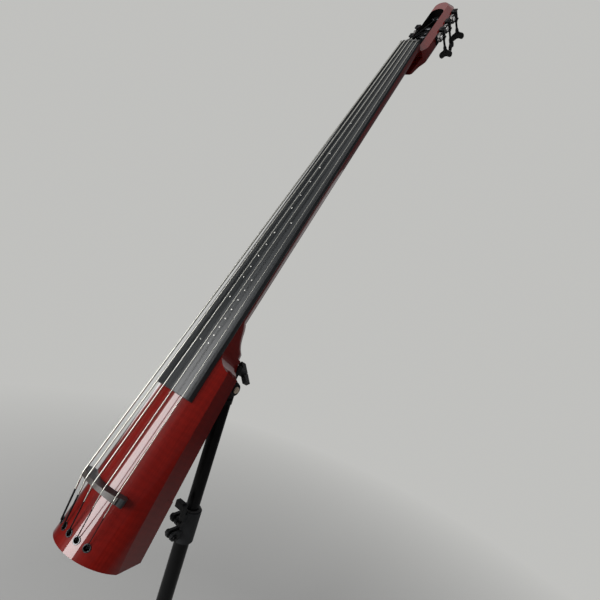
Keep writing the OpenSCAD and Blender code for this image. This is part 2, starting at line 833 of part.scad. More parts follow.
module leg_tube(k) {
    color("#121213") on_stand() rotate([0, 0, leg_azimuth[k]])
        translate([leg_pin_reach, 0, leg_hinge_h]) rotate([0, leg_angle, 0]) difference() {
            union() {
                along_y(0, -8.6, 0, 8.6, 17.2);
                along_x(4, 0, 0, leg_r, leg_length - 14);
            }
            along_y(0, -10, 0, 3.1, 20);
            along_x(24, 0, 0, leg_r - 1.5, leg_length);
        }
}

module leg_1() { leg_tube(0); }
module leg_2() { leg_tube(1); }
module leg_3() { leg_tube(2); }

// Rubber foot: a sleeve on the leg's end that ends in a flat pad
module rubber_foot(k) {
    color("#161616") on_stand() rotate([0, 0, leg_azimuth[k]]) difference() {
        union() {
            translate([leg_pin_reach, 0, leg_hinge_h]) rotate([0, leg_angle, 0])
                along_x(leg_length - 46, 0, 0, leg_r + 2.6, 46);
            translate([foot_reach - 2, 0, 0]) cylinder(r = foot_r, h = 20);
            translate([foot_reach - 2, 0, 18]) sphere(r = foot_r);
        }
        translate([leg_pin_reach, 0, leg_hinge_h]) rotate([0, leg_angle, 0])
            along_x(0, 0, 0, leg_r, leg_length - 10);
    }
}

module foot_1() { rubber_foot(0); }
module foot_2() { rubber_foot(1); }
module foot_3() { rubber_foot(2); }

body_core();
neck();
peghead();
fingerboard();
nut();
position_dots();
truss_rod();
bridge();
bridge_saddle();
pickup();
string_1();
string_2();
string_3();
string_4();
string_5();
tail_ferrules();
tuner_plate_treble();
tuner_plate_bass();
small_screws();
post_1();
post_2();
post_3();
post_4();
post_5();
gear_1();
gear_2();
gear_3();
gear_4();
gear_5();
key_1();
key_2();
key_3();
key_4();
key_5();
rear_cover();
preamp();
volume_knob();
tone_knob();
control_pots();
output_jack();
mount_plate();
thumbscrew_1();
thumbscrew_2();
pivot_bolt();
pivot_cap();
tilt_knob();
tilt_head();
mast_upper();
mast_bushing();
clamp_collar();
clamp_lever();
stand_bolts();
mast_lower();
leg_hub();
leg_1();
leg_2();
leg_3();
foot_1();
foot_2();
foot_3();
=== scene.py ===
"""Looks of a five-string electric upright double bass that leans on its folding tripod stand."""

import json
import math

import bmesh
import bpy
from mathutils import Matrix, Vector


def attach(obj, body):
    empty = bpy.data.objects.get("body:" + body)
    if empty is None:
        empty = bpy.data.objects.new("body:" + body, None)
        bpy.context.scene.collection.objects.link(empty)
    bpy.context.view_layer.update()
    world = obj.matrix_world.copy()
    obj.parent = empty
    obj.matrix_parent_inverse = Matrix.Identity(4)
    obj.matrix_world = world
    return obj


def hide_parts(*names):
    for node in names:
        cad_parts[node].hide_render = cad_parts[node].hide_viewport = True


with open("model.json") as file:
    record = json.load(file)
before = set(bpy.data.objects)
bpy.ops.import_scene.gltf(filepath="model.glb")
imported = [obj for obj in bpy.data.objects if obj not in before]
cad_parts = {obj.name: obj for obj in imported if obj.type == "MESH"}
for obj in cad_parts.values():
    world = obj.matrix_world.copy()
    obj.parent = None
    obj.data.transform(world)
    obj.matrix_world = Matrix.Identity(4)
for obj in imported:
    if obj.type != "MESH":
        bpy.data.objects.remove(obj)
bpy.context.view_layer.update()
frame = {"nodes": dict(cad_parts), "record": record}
record = frame["record"]
joints = {j["name"]: j for j in record["behaviour"]["joints"]}
body_of_node = {n: b for b, nodes in record["behaviour"]["bodies"].items() for n in nodes}

# ---------- frames ----------
# Instrument frame, in mm: x to the treble side, y to the back, z up the neck, origin at the nut.

LEAN = math.radians(27)
pivot = Vector(joints["tilt"]["pos_m"])
INSTRUMENT = (
    Matrix.Translation(pivot)
    @ Matrix.Rotation(-LEAN, 4, "X")
    @ Matrix.Translation((0, -0.146, 0.832))
    @ Matrix.Scale(0.001, 4)
)

# Lengths are in mm, and "down" is a distance below the nut. A pitch is the space between two
# strings, and an arc is the radius of a row of strings or of an arched surface.
STRING_LENGTH, FERRULE_DOWN = 1067.0, 1140.0
NUT_PITCH, BRIDGE_PITCH, FERRULE_PITCH = 9.7, 21.4, 18.0
NUT_ARC, BRIDGE_ARC, BOARD_ARC, BELLY_ARC = 110.0, 92.0, 85.0, 70.0
BELLY_Y = 19.0

# The middle line of the body's arched back: a point on it, and its slope against the strings.
BACK_DOWN, BACK_Y, BACK_SLOPE = 1135.0, 125.3, math.radians(6.58)

# The fingerboard at the nut, and what it gains over its whole length: its underside's y, its
# half width, and the y of its arched top. JOINT_GAP keeps its underside clear of the neck.
BOARD_LENGTH = 895.0
BOARD_Y, BOARD_FALL = 10.0, 23.0
BOARD_W, BOARD_SPREAD = 23.0, 19.3
CROWN_Y, CROWN_FALL = 1.4, 9.5
JOINT_GAP = 0.05

# The neck: where it starts, grows square and ends, its depth, how much narrower than the
# board it is at each side, and the round cove at its heel.
NECK_TOP, FLARE_DOWN, HEEL_DOWN = -5.9, 735, 791.0
NECK_DEPTH, NECK_INSET = 32.0, 0.6
COVE_DOWN, COVE_END, COVE_Y, COVE_R = 747, 782, 97.5, 36.0

# The five strings and tuning machines, bass string first. A side is -1 for bass and 1 for
# treble, POST_X is where a string meets its post, and a key's angle is in degrees. A worm lies
# WORM_RISE above its post and MACHINE_X out from the middle.
STRINGS = range(5)
STRING_R = [1.6, 1.35, 1.1, 0.9, 0.7]
POST_SIDE = [-1, -1, 1, 1, 1]
POST_Z = [58.5, 91.5, 147, 109, 77]
POST_X = [-10.5, -6, 0, 6, 10.5]
POST_Y, POST_R, POST_GAP = 42.0, 5.0, 0.3
WORM_RISE, MACHINE_X = 15.0, 35.0
KEY_ANGLE = [-20, 60, -21, 82, -17]

# The peghead's open slot: its half width, then from and to in y and z.
SLOT_HALF, SLOT_Y, SLOT_Z = 16.2, (21.5, 56.2), (13.8, 156.2)


def sag(x, r):
    """How far an arc of radius r has dropped at x from its middle."""
    return r - math.sqrt(r * r - x * x)


def board_y(down):
    """The fingerboard's flat underside."""
    return BOARD_Y + BOARD_FALL * down / BOARD_LENGTH


def board_w(down):
    """The fingerboard's half width."""
    return BOARD_W + BOARD_SPREAD * down / BOARD_LENGTH


def crown_y(down):
    """The middle of the fingerboard's playing surface."""
    return CROWN_Y + CROWN_FALL * down / BOARD_LENGTH


def back_y(down):
    """The middle of the body's back."""
    return BACK_Y - (BACK_DOWN - down) * math.tan(BACK_SLOPE)


def nut_point(k):
    x = (k - 2) * NUT_PITCH
    return Vector((x, sag(x, NUT_ARC), 0))


def bridge_point(k):
    x = (k - 2) * BRIDGE_PITCH
    return Vector((x, sag(x, BRIDGE_ARC), -STRING_LENGTH))


def ferrule_point(k, depth):
    """A point in string k's tail ferrule, depth mm into the belly."""
    x = (k - 2) * FERRULE_PITCH
    surface = Vector((x, BELLY_Y + sag(x, BELLY_ARC), -FERRULE_DOWN))
    return surface + depth * Vector((-x / BELLY_ARC, math.sqrt(1 - (x / BELLY_ARC) ** 2), 0))


def post_point(k):
    """Where string k ends, just clear of its post."""
    return Vector((POST_X[k], POST_Y - POST_R - STRING_R[k] - POST_GAP, POST_Z[k]))


# ---------- materials ----------


class Material:
    """A Principled material with small helpers for its node tree."""

    def __init__(self, name, rough=0.5, metal=0.0, coat=0.0, coat_rough=0.03, base=(0.5, 0.5, 0.5)):
        self.mat = bpy.data.materials.new(name)
        self.mat.use_nodes = True
        self.nodes = self.mat.node_tree.nodes
        self.links = self.mat.node_tree.links
        self.shader = self.nodes["Principled BSDF"]
        self.set("Base Color", (*base, 1))
        self.set("Roughness", rough)
        self.set("Metallic", metal)
        self.set("Coat Weight", coat)
        self.set("Coat Roughness", coat_rough)
        self.mat.diffuse_color = (*base, 1)

    def set(self, socket, value):
        self.shader.inputs[socket].default_value = value

    def put(self, socket, output):
        self.links.new(output, self.shader.inputs[socket])

    def coords(self, source="Object", scale=(1, 1, 1), lean=False):
        """Texture coordinates, leaned with the instrument for a grain that runs along it."""
        place = self.nodes.new("ShaderNodeTexCoord").outputs[source]
        if lean:
            place = self.mapped(place, rotation=(LEAN, 0, 0))
        return self.mapped(place, scale=scale)

    def mapped(self, vector, scale=(1, 1, 1), rotation=(0, 0, 0)):
        node = self.nodes.new("ShaderNodeMapping")
        node.inputs["Scale"].default_value = scale
        node.inputs["Rotation"].default_value = rotation
        self.links.new(vector, node.inputs["Vector"])
        return node.outputs["Vector"]

    def noise(self, vector, scale=1.0, detail=4.0, rough=0.55):
        node = self.nodes.new("ShaderNodeTexNoise")
        node.inputs["Scale"].default_value = scale
        node.inputs["Detail"].default_value = detail
        node.inputs["Roughness"].default_value = rough
        self.links.new(vector, node.inputs["Vector"])
        return node.outputs["Fac"]

    def wave(self, vector, scale, direction="Y", distort=0.0, detail=2.0, detail_scale=1.0):
        node = self.nodes.new("ShaderNodeTexWave")
        node.bands_direction = direction
        node.inputs["Scale"].default_value = scale
        node.inputs["Distortion"].default_value = distort
        node.inputs["Detail"].default_value = detail
        node.inputs["Detail Scale"].default_value = detail_scale
        self.links.new(vector, node.inputs["Vector"])
        return node.outputs["Fac"]

    def ramp(self, fac, stops):
        """Colours between stops of [(position, colour)]."""
        node = self.nodes.new("ShaderNodeValToRGB")
        elements = node.color_ramp.elements
        while len(elements) < len(stops):
            elements.new(0.5)
        for element, (at, colour) in zip(elements, stops):
            element.position = at
            element.color = (*colour, 1)
        self.links.new(fac, node.inputs["Fac"])
        return node.outputs["Color"]

    def multiply(self, amount, a, b):
        """Colour a times colour b, mixed with plain a by amount."""
        node = self.nodes.new("ShaderNodeMix")
        node.data_type = "RGBA"
        node.blend_type = "MULTIPLY"
        node.inputs[0].default_value = amount
        self.links.new(a, node.inputs[6])
        self.links.new(b, node.inputs[7])
        return node.outputs[2]

    def span(self, fac, low, high, start=0.3, end=0.7):
        """Maps start..end to low..high."""
        node = self.nodes.new("ShaderNodeMapRange")
        node.inputs["From Min"].default_value = start
        node.inputs["From Max"].default_value = end
        node.inputs["To Min"].default_value = low
        node.inputs["To Max"].default_value = high
        self.links.new(fac, node.inputs["Value"])
        return node.outputs["Result"]

    def bump(self, height, strength, distance, coat=False):
        node = self.nodes.new("ShaderNodeBump")
        node.inputs["Strength"].default_value = strength
        node.inputs["Distance"].default_value = distance
        self.links.new(height, node.inputs["Height"])
        self.put("Coat Normal" if coat else "Normal", node.outputs["Normal"])


def red_maple():
    """Flamed maple under clear red gloss lacquer; the figure runs across the grain."""
    m = Material("red_maple", rough=0.38, coat=1.0, coat_rough=0.025, base=(0.2, 0.008, 0.005))
    flame = m.wave(m.coords(lean=True), 26, "Z", distort=5.0, detail=3, detail_scale=1.6)
    grain = m.noise(m.coords(scale=(420, 420, 9), lean=True), 1.0, 5, 0.6)
    cloud = m.noise(m.coords(scale=(14, 14, 5), lean=True), 1.0, 3, 0.5)
    body = m.ramp(cloud, [(0.3, (0.115, 0.0028, 0.0015)), (0.7, (0.175, 0.0053, 0.0022))])
    stripes = m.ramp(flame, [(0.0, (0.86, 0.8, 0.78)), (1.0, (1.0, 1.0, 1.0))])
    pores = m.ramp(grain, [(0.3, (0.8, 0.72, 0.7)), (0.62, (1.0, 1.0, 1.0))])
    m.put("Base Color", m.multiply(1.0, m.multiply(0.75, body, stripes), pores))
    m.put("Roughness", m.span(grain, 0.3, 0.46))
    m.bump(m.noise(m.coords(scale=(30, 30, 30)), 1.0, 2, 0.4), 0.06, 0.0006, coat=True)
    m.set("Specular IOR Level", 0.12)
    return m.mat


def ebony():
    """Satin black wood with fine grain along the fingerboard."""
    m = Material("ebony", rough=0.36, base=(0.02, 0.021, 0.022))
    m.set("Specular IOR Level", 0.42)
    grain = m.noise(m.coords(scale=(900, 900, 14), lean=True), 1.0, 4, 0.6)
    streak = m.noise(m.coords(scale=(90, 90, 3), lean=True), 1.0, 3, 0.5)
    tone = m.ramp(streak, [(0.3, (0.012, 0.0135, 0.0145)), (0.72, (0.031, 0.034, 0.036))])
    pores = m.ramp(grain, [(0.3, (0.6, 0.6, 0.6)), (0.55, (1.0, 1.0, 1.0))])
    m.put("Base Color", m.multiply(1.0, tone, pores))
    m.put("Roughness", m.span(streak, 0.31, 0.4))
    m.bump(grain, 0.12, 0.0002)
    return m.mat


def speckled(name, dark, light, rough, metal=0.0, scale=60.0, grain=1400.0, bump=0.08, gloss=0.5):
    """Slightly uneven colour and gloss with a fine surface texture."""
    m = Material(name, rough=rough[0], metal=metal, base=light)
    m.set("Specular IOR Level", gloss)
    cloud = m.noise(m.coords(), scale, 4, 0.6)
    fine = m.noise(m.coords(), grain, 2, 0.5)
    m.put("Base Color", m.ramp(cloud, [(0.32, dark), (0.68, light)]))
    m.put("Roughness", m.span(cloud, rough[0], rough[1]))
    m.bump(fine, bump, 0.0002)
    return m.mat


def wound(name, dark, light, rough, metal, pitch, gloss=0.5):
    """A wound surface: its turns lie across the length, which runs along V in mm."""
    m = Material(name, rough=rough, metal=metal, base=light)
    m.set("Specular IOR Level", gloss)
    # At a scale of 1 the wave texture's bands are 2 pi / 20 apart.
    turns = m.wave(m.coords("UV"), 2 * math.pi / (20 * pitch), "Y")
    cloud = m.noise(m.coords(), 160, 3, 0.6)
    m.put("Base Color", m.ramp(cloud, [(0.3, dark), (0.7, light)]))
    m.put("Roughness", m.span(cloud, rough * 0.92, rough * 1.1))
    m.bump(turns, 0.04, 0.0001)
    return m.mat


# Each speckled material has a dark and a light colour, and its least and most roughness.
MAPLE = red_maple()
EBONY = ebony()
BLACK_METAL = speckled("black_metal", (0.003, 0.003, 0.0033), (0.007, 0.007, 0.0075),
                       (0.36, 0.48), gloss=0.25)
TUBE = speckled("stand_tube", (0.0012, 0.0012, 0.0014), (0.003, 0.003, 0.0033), (0.3, 0.42),
                grain=2600.0, bump=0.05, gloss=0.16)
CAST = speckled("collar_grey", (0.011, 0.012, 0.013), (0.02, 0.021, 0.023), (0.5, 0.62),
                grain=900.0, bump=0.28, gloss=0.3)
BLACK_PLASTIC = speckled("black_plastic", (0.005, 0.005, 0.0053), (0.011, 0.011, 0.0115),
                         (0.42, 0.6), grain=2000.0, bump=0.2, gloss=0.3)
RUBBER = speckled("foot_rubber", (0.009, 0.009, 0.009), (0.018, 0.018, 0.017), (0.75, 0.9),
                  grain=700.0, bump=0.35)
STEEL = speckled("steel", (0.42, 0.42, 0.43), (0.62, 0.62, 0.63), (0.22, 0.36), metal=1.0)
CHROME = speckled("polished_steel", (0.6, 0.6, 0.61), (0.78, 0.78, 0.79), (0.08, 0.16), metal=1.0,
                  bump=0.02)
FERRULE = speckled("ferrule_chrome", (0.05, 0.05, 0.052), (0.1, 0.1, 0.105), (0.3, 0.4),
                   metal=1.0, bump=0.03)
POST = speckled("post_steel", (0.035, 0.035, 0.037), (0.06, 0.06, 0.063), (0.36, 0.48), metal=1.0)
NICKEL = speckled("bright_nickel", (0.8, 0.79, 0.78), (0.92, 0.91, 0.9), (0.4, 0.5), metal=0.3)
GEAR = speckled("gear_dark", (0.13, 0.125, 0.12), (0.2, 0.19, 0.185), (0.32, 0.44), metal=1.0)
ALUMINIUM = speckled("aluminium_parts", (0.5, 0.5, 0.52), (0.66, 0.66, 0.68), (0.3, 0.42),
                     metal=1.0)
BRASS = speckled("pickup_brass", (0.5, 0.36, 0.14), (0.64, 0.48, 0.22), (0.25, 0.4), metal=1.0)
NUT_BLACK = speckled("nut_black", (0.018, 0.018, 0.018), (0.034, 0.034, 0.034), (0.32, 0.46))
INLAY = speckled("inlay", (0.72, 0.71, 0.66), (0.86, 0.85, 0.8), (0.3, 0.42), scale=300.0)
SADDLE = speckled("saddle", (0.024, 0.02, 0.018), (0.075, 0.064, 0.058), (0.4, 0.6), scale=240.0,
                  bump=0.2)
BEIGE = speckled("beige_cap", (0.42, 0.33, 0.24), (0.6, 0.5, 0.39), (0.4, 0.55), scale=200.0)
BOARD = speckled("circuit_board", (0.012, 0.08, 0.03), (0.03, 0.16, 0.06), (0.2, 0.35))
BUSHING = speckled("bushing_plastic", (0.02, 0.02, 0.02), (0.036, 0.036, 0.036), (0.5, 0.65))
STRING = wound("string_steel", (0.48, 0.475, 0.43), (0.55, 0.545, 0.5), 0.38, 1.0, 0.7)
SILK = wound("string_silk", (0.002, 0.002, 0.0024), (0.006, 0.006, 0.007), 0.75, 0.0, 0.5, 0.15)
# Near-black colour for the inside of the peghead's slot: painted shade standing in for the deep
# shadow there.
PAINTED_SLOT_SHADE = speckled("painted_slot_shade", (0.002, 0.0012, 0.0012), (0.005, 0.003, 0.003), (0.7, 0.85), gloss=0.1)

# ---------- mesh helpers ----------

# Edges of the frame's shapes that turn by more than this stay edges.
SHARP = math.radians(28)


def add(name, mesh, body, material, nodes):
    """A piece that rides on a body in place of the named nodes."""
    mesh.name = name
    ob = bpy.data.objects.new(name, mesh)
    bpy.context.scene.collection.objects.link(ob)
    mesh.materials.clear()
    mesh.materials.append(material)
    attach(ob, body)
    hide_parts(*nodes)
    return ob


def make_mesh(verts, faces, sharp=32.0, lengths=None):
    """A mesh from points in the instrument frame, smooth up to an angle of sharp degrees.

    lengths gives each point's texture coordinates: its share of the way round, and mm along.
    """
    mesh = bpy.data.meshes.new("mesh")
    mesh.from_pydata([INSTRUMENT @ Vector(v) for v in verts], [], faces)
    if lengths:
        layer = mesh.uv_layers.new(name="UVMap")
        for loop in mesh.loops:
            layer.data[loop.index].uv = lengths[loop.vertex_index]
    bm = bmesh.new()
    bm.from_mesh(mesh)
    bmesh.ops.recalc_face_normals(bm, faces=bm.faces)
    bm.to_mesh(mesh)
    bm.free()
    mesh.shade_smooth()
    mesh.set_sharp_from_angle(angle=math.radians(sharp))
    return mesh


def loft(rings):
    """Points and faces of a closed skin through rings of equal size, with flat ends."""
    n = len(rings[0])
    faces = [
        (i * n + j, i * n + (j + 1) % n, (i + 1) * n + (j + 1) % n, (i + 1) * n + j)
        for i in range(len(rings) - 1)
        for j in range(n)
    ]
    faces.append(tuple(reversed(range(n))))
    faces.append(tuple((len(rings) - 1) * n + j for j in range(n)))
    return [p for ring in rings for p in ring], faces


def circle(sides):
    """The angles of a round ring's points."""
    return [2 * math.pi * j / sides for j in range(sides)]


def tube(path, radius, sides=14):
    """A round rod along a path."""
    path = [Vector(p) for p in path]
    up = (path[1] - path[0]).orthogonal().normalized()
    rings, lengths, run = [], [], 0.0
    for i, p in enumerate(path):
        way = (path[min(i + 1, len(path) - 1)] - path[max(i - 1, 0)]).normalized()
        up = (up - way * up.dot(way)).normalized()
        side = way.cross(up)
        run += (p - path[i - 1]).length if i else 0.0
        rings.append([p + (up * math.cos(a) + side * math.sin(a)) * radius
                      for a in circle(sides)])
        lengths += [(j / sides, run) for j in range(sides)]
    return make_mesh(*loft(rings), 50.0, lengths)


def lathe(start, way, profile, sides=40):
    """A turned shape: profile is [(radius, distance along way)], closed on the axis."""
    start, way = Vector(start), Vector(way).normalized()
    up = way.orthogonal().normalized()
    side = way.cross(up)
    rings = [[start + way * h + (up * math.cos(a) + side * math.sin(a)) * max(r, 0.01)
              for a in circle(sides)] for r, h in profile]
    return make_mesh(*loft(rings))


def smooth_loop(points, steps):
    """Catmull-Rom curve through a closed loop of (u, v) points."""
    out = []
    n = len(points)
    for i in range(n):
        a, b, c, d = (Vector(points[(i + s) % n]) for s in (-1, 0, 1, 2))
        for s in range(steps):
            t = s / steps
            out.append(0.5 * ((2 * b) + (c - a) * t + (2 * a - 5 * b + 4 * c - d) * t * t
                              + (3 * b - a - 3 * c + d) * t ** 3))
    return out


def round_edges(ob, width, segments):
    """Rounds the sharp edges by width in mm and keeps the result as the mesh."""
    edge = ob.modifiers.new("edge", "BEVEL")
    edge.width = width / 1000
    edge.segments = segments
    edge.limit_method = "ANGLE"
    edge.angle_limit = SHARP
    edge.harden_normals = True
    edge.miter_outer = "MITER_ARC"
    weight = ob.modifiers.new("weight", "WEIGHTED_NORMAL")
    weight.keep_sharp = True
    settle(ob)


def settle(ob):
    """Replaces an object's mesh with its modified one."""
    bpy.context.view_layer.update()
    graph = bpy.context.evaluated_depsgraph_get()
    mesh = bpy.data.meshes.new_from_object(ob.evaluated_get(graph), depsgraph=graph)
    ob.modifiers.clear()
    old = ob.data
    ob.data = mesh
    bpy.data.meshes.remove(old)


def copy_of(node):
    """The node's mesh with flat faces joined and its sharp edges marked."""
    mesh = frame["nodes"][node].data.copy()
    bm = bmesh.new()
    bm.from_mesh(mesh)
    bmesh.ops.remove_doubles(bm, verts=bm.verts, dist=2e-6)
    bmesh.ops.dissolve_limit(bm, angle_limit=math.radians(0.3), verts=bm.verts, edges=bm.edges)
    bmesh.ops.recalc_face_normals(bm, faces=bm.faces)
    bm.to_mesh(mesh)
    bm.free()
    mesh.shade_smooth()
    mesh.set_sharp_from_angle(angle=SHARP)
    return mesh


def soft(node, material, width, segments=2):
    """A piece with the node's shape and its edges eased, in place of the node."""
    ob = add(node + "_piece", copy_of(node), body_of_node[node], material, [node])
    round_edges(ob, width, segments)
    return ob


def repaint(ob, material, inside):
    """A second material on the faces whose centre, in the instrument frame, passes the test."""
    ob.data.materials.append(material)
    back = INSTRUMENT.inverted()
    for face in ob.data.polygons:
        if inside(back @ face.center):
            face.material_index = 1


# ---------- body, neck, peghead ----------


def in_slot(p):
    """Whether a point lies in the peghead's slot."""
    return (abs(p.x) < SLOT_HALF and SLOT_Y[0] < p.y < SLOT_Y[1]
            and SLOT_Z[0] < p.z < SLOT_Z[1])


def neck_back(down):
    """The neck's back line: parallel to the board, then a cove down to the body's back."""
    if down < COVE_DOWN:
        return board_y(down) + NECK_DEPTH
    cove = COVE_Y - math.sqrt(COVE_R ** 2 - (min(down, COVE_END) - COVE_DOWN) ** 2)
    return min(cove, back_y(down))


def neck_ring(down, sides=48):
    """The neck's section: half round, then squarer and squarer towards the heel."""
    at = max(down, 0.0)
    power = 2 + 7 * max(0.0, down - FLARE_DOWN) / (HEEL_DOWN - FLARE_DOWN)
    top, depth = board_y(at), neck_back(at) - board_y(at)
    ring = []
    for i in range(sides):
        a = math.pi * i / (sides - 1)
        c, s = math.cos(a), max(math.sin(a), 0.0)
        x = (board_w(at) - NECK_INSET) * math.copysign(abs(c) ** (2 / power), c)
        ring.append((x, top + depth * s ** (2 / power), -down))
    return ring


soft("body_core", MAPLE, 2.2, 4)
# The slot's inner faces get the near-black material: painted shade, since the wood inside is the
# same red maple.
repaint(soft("peghead", MAPLE, 1.3, 3), PAINTED_SLOT_SHADE, in_slot)
# A section every 20 mm, and every 2 mm where the neck grows square and the cove lies.
stations = [NECK_TOP] + [20 * i for i in range(37)]
stations += [FLARE_DOWN + 2 * i for i in range(28)] + [HEEL_DOWN]
neck = make_mesh(*loft([neck_ring(down) for down in stations]), sharp=40)
add("neck_piece", neck, "instrument", MAPLE, ["neck"])

# ---------- fingerboard, nut, marks ----------

# Each row of marks: its place across the board, and its notes in semitones above the open string.
MARK_ROWS = ((-2.2, (5, 7, 8, 9, 10, 11, 13, 14, 15, 16, 17, 19, 24)),
             (16.8, (12, 17, 18, 19, 20, 21, 22, 23, 24)))
# A mark from its foot to its top: the radius, and the depth below the board's surface.
MARK_PROFILE = ((1.2, 0.4), (1.2, -0.02), (1.1, -0.06), (0.02, -0.07))


def board_ring(down):
    """The fingerboard's section: an arched top, upright sides and a flat underside."""
    w = board_w(down)
    low = board_y(down) - JOINT_GAP
    top = [(x, crown_y(down) + sag(x, BOARD_ARC), -down)
           for x in [w * (1 - 2 * i / 32) for i in range(33)]]
    edge = crown_y(down) + sag(w, BOARD_ARC)
    thirds = [1 / 3, 2 / 3, 1.0]
    left = [(-w, edge + (low - edge) * s, -down) for s in thirds]
    right = [(w, edge + (low - edge) * s, -down) for s in reversed(thirds)]
    return top + left + right


def mark_rings(x, note):
    """A round mark set square into the arched board."""
    down = STRING_LENGTH * (1 - 2 ** (-note / 12))
    axis = Vector((0, crown_y(down) + BOARD_ARC, -down))
    tilt = Matrix.Rotation(math.asin(x / BOARD_ARC), 3, "Z")
    return [[axis + tilt @ Vector((r * math.cos(a), y - BOARD_ARC, r * math.sin(a)))
             for a in circle(24)] for r, y in MARK_PROFILE]


board = make_mesh(*loft([board_ring(BOARD_LENGTH * i / 40) for i in range(41)]), sharp=30)
round_edges(add("fingerboard_piece", board, "instrument", EBONY, ["fingerboard"]), 1.0, 3)
soft("nut", NUT_BLACK, 0.35)

verts, faces = [], []
for x, notes in MARK_ROWS:
    for note in notes:
        points, skin = loft(mark_rings(x, note))
        faces += [tuple(i + len(verts) for i in face) for face in skin]
        verts += points
add("position_dots_piece", make_mesh(verts, faces), "instrument", INLAY, ["position_dots"])

# ---------- bridge ----------

soft("bridge", EBONY, 1.6, 3)
soft("bridge_saddle", SADDLE, 0.35)

# ---------- strings ----------

# The silk at the head starts this far above the nut, or at this share of the way to the post,
# and the silk at the tail at this share of the way from the bridge to the ferrule.
HEAD_SILK, HEAD_SHARE, TAIL_SHARE = 14, 0.6, 0.36
# Depths into the belly: the ferrule's mouth, which stands proud, the ball's top and the end.
MOUTH, BALL_TOP, STRING_END = -2.4, 5.5, 8.0
BALL_PROFILE = [(0, 0), (2.2, 0), (2.9, 0.7), (2.9, 4.3), (2.2, 5), (0, 5)]


def bend(a, b, c, reach=3.0, steps=5):
    """Points that turn softly from a-b to b-c at b."""
    p, q = b + (a - b).normalized() * reach, b + (c - b).normalized() * reach
    out = []
    for i in range(steps + 1):
        t = i / steps
        out.append(p * (1 - t) ** 2 + b * 2 * t * (1 - t) + q * t ** 2)
    return out


def along(a, b, n):
    """The points that cut a-b into n equal parts."""
    return [a.lerp(b, i / n) for i in range(1, n)]


def string_pieces(k):
    """Wire over the nut and the bridge, silk at both ends, and the ball in the ferrule."""
    name, r = f"string_{k + 1}", STRING_R[k]
    post, nut, bridge = post_point(k), nut_point(k), bridge_point(k)
    mouth, end = ferrule_point(k, MOUTH), ferrule_point(k, STRING_END)
    silk_in = nut.lerp(post, min(HEAD_SILK / (post - nut).length, HEAD_SHARE))
    silk_out = bridge.lerp(mouth, TAIL_SHARE)
    over_nut = bend(silk_in, nut, bridge)
    over_bridge = bend(nut, bridge, mouth)
    wire = [silk_in] + over_nut + along(over_nut[-1], over_bridge[0], 60) + over_bridge + [silk_out]
    add(name + "_wire", tube(wire, r), "instrument", STRING, [name])
    tail = [silk_out] + along(silk_out, mouth, 4) + bend(silk_out, mouth, end, 1.6) + [end]
    add(name + "_tail_silk", tube(tail, r * 0.93), "instrument", SILK, [name])
    ball = lathe(ferrule_point(k, BALL_TOP), end - mouth, BALL_PROFILE, 20)
    add(name + "_ball", ball, "instrument", BLACK_METAL, [name])
    head = [silk_in] + along(silk_in, post, 5) + [post]
    add(name + "_head_silk", tube(head, r * 0.97), "instrument", SILK, [name])


for k in STRINGS:
    string_pieces(k)
soft("tail_ferrules", FERRULE, 0.4, 3)

# ---------- tuning machines ----------

# The string's turns on a post: how many, and their start and spacing in string radii.
TURNS, TURN_STEPS = 3, 20
TURN_START, TURN_PITCH = 2.05, 2.12

# Turned profiles: the post and its screw outwards from the middle of the peghead.
POST_PROFILE = [(0, -20.7), (4.4, -20.7), (5, -20.1), (5, -8), (4.6, -6), (4.6, 9), (5, 11),
                (5, 29.8), (3, 29.8), (3, 36.9), (0, 36.9)]
SCREW_PROFILE = [(0, 36.9), (4.2, 36.9), (4.5, 37.2), (4.5, 38.3), (4.0, 38.8), (1.4, 38.9),
                 (1.3, 38.2), (0, 38.2)]

# The key's shaft along y: the end before the worm, the worm's turns, and the stem behind it.
WORM_TURNS, WORM_START, WORM_PITCH = 6, 34.0, 2.8
KEY_FRONT = [(0, 28.4), (2.1, 28.4), (2.5, 28.9), (2.5, 33.4)]
KEY_STEM = [(2.5, 51.0), (2.5, 54.7), (3.6, 54.7), (3.6, 56.6), (2.5, 56.9), (2.5, 71),
            (3.1, 74), (4.0, 77), (4.0, 84), (3.2, 87.5), (0, 89)]

# Half of the key's wing from its stem round to the notch in its end, and its layers: the height
# of each and how far it is drawn in.
WING_HALF = [(3.2, 77.5), (4.0, 81.5), (7.0, 84.6), (11.4, 87.0), (14.3, 90.4), (14.95, 94.6),
             (13.4, 98.9), (10.0, 101.4), (6.6, 100.4), (3.4, 98.4)]
WING_NOTCH = (0, 97.6)
WING_LAYERS = ((-2.7, 1.7), (-2.2, 0.5), (-1.2, 0.0), (1.2, 0.0), (2.2, 0.5), (2.7, 1.7))
WING = smooth_loop(WING_HALF + [WING_NOTCH] + [(-u, v) for u, v in reversed(WING_HALF)], 5)


def post_pieces(k):
    """A post with its end screw and the string's last turns on it."""
    name, body, side = f"post_{k + 1}", f"tuner_post_{k + 1}", POST_SIDE[k]
    start, way = (0, POST_Y, POST_Z[k]), (side, 0, 0)
    add(name + "_shaft", lathe(start, way, POST_PROFILE), body, POST, [name])
    add(name + "_screw", lathe(start, way, SCREW_PROFILE, 24), body, NICKEL, [name])
    r = STRING_R[k]
    path = []
    for i in range(TURNS * TURN_STEPS + 1):
        a = 2 * math.pi * i / TURN_STEPS
        x = post_point(k).x * side - TURN_START * r - TURN_PITCH * r * i / TURN_STEPS
        path.append(Vector((x * side, POST_Y - (POST_R + r) * math.cos(a),
                            POST_Z[k] + (POST_R + r) * math.sin(a))))
    add(name + "_turns", tube(path, r * 0.97, 10), body, SILK, [name])


